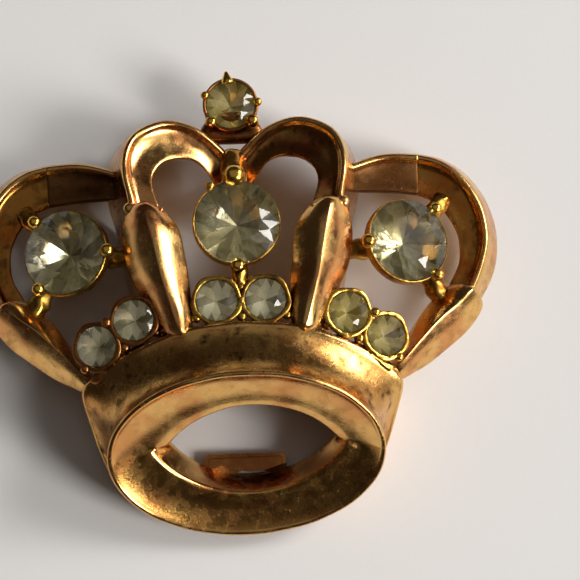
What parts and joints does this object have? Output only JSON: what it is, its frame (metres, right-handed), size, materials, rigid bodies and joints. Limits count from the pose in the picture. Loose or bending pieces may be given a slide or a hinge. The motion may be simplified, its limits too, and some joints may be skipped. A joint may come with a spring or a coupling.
{
  "type": "crown brooch",
  "caption": "Gilt crown brooch: hollow dished base ring with a lens-shaped opening, four arches, ridged leaves, clear faceted stones in cups, and a bar pin with a safety catch on the back.",
  "frame": {"origin": "centre of the bounding box's base, on the flat back plane that the brooch lies on", "axes": "+Z out of the back, towards the viewer of a worn brooch; +Y towards the crown's top stone; +X across the crown, to the viewer's right"},
  "size_m": [0.0466, 0.0405, 0.012],
  "materials": {
    "gilt_casting": "polished gold plate, worn to rose at the edges, with dark tarnish in the hollows",
    "gilt_settings": "bright yellow gilt",
    "gilt_hardware": "satin gilt",
    "plated_steel": "pale gilt on steel wire",
    "clear_stone": "clear faceted glass with a worn foil back"
  },
  "bodies": {
    "brooch": {"base_band": "gilt_casting", "blank_back_plate": "gilt_casting", "bridge_strap_left": "gilt_casting", "bridge_strap_right": "gilt_casting", "catch_body": "gilt_hardware", "centre_pair_plate": "gilt_settings", "centre_pair_stone_left": "clear_stone", "centre_pair_stone_right": "clear_stone", "centre_prongs": "gilt_settings", "centre_setting": "gilt_settings", "centre_stone": "clear_stone", "inner_arch_left": "gilt_casting", "inner_arch_right": "gilt_casting", "inner_leaf_left": "gilt_casting", "inner_leaf_right": "gilt_casting", "joint_rivet": "plated_steel", "left_pair_plate": "gilt_settings", "left_pair_stone_inner": "clear_stone", "left_pair_stone_outer": "clear_stone", "left_prongs": "gilt_settings", "left_setting": "gilt_settings", "left_stone": "clear_stone", "outer_arch_left": "gilt_casting", "outer_arch_right": "gilt_casting", "outer_leaf_left": "gilt_casting", "outer_leaf_right": "gilt_casting", "pin_bar": "gilt_hardware", "pin_joint": "gilt_hardware", "right_pair_plate": "gilt_settings", "right_pair_stone_inner": "clear_stone", "right_pair_stone_outer": "clear_stone", "right_prongs": "gilt_settings", "right_setting": "gilt_settings", "right_stone": "clear_stone", "top_prongs": "gilt_settings", "top_setting": "gilt_settings", "top_stone": "clear_stone"},
    "pin": {"pin_stem": "plated_steel"},
    "safety_rotor": {"catch_rotor": "gilt_hardware"}
  },
  "joints": [
    {"name": "pin_hinge", "type": "hinge", "parent": "brooch", "child": "pin", "pos_m": [-0.007, -0.0081, 0.00165], "axis": [0, 1, 0], "range_deg": [0, 100]},
    {"name": "catch_turn", "type": "hinge", "parent": "brooch", "child": "safety_rotor", "pos_m": [0.0066, -0.0081, 0.00165], "axis": [1, 0, 0], "range_deg": [0, 120]}
  ]
}
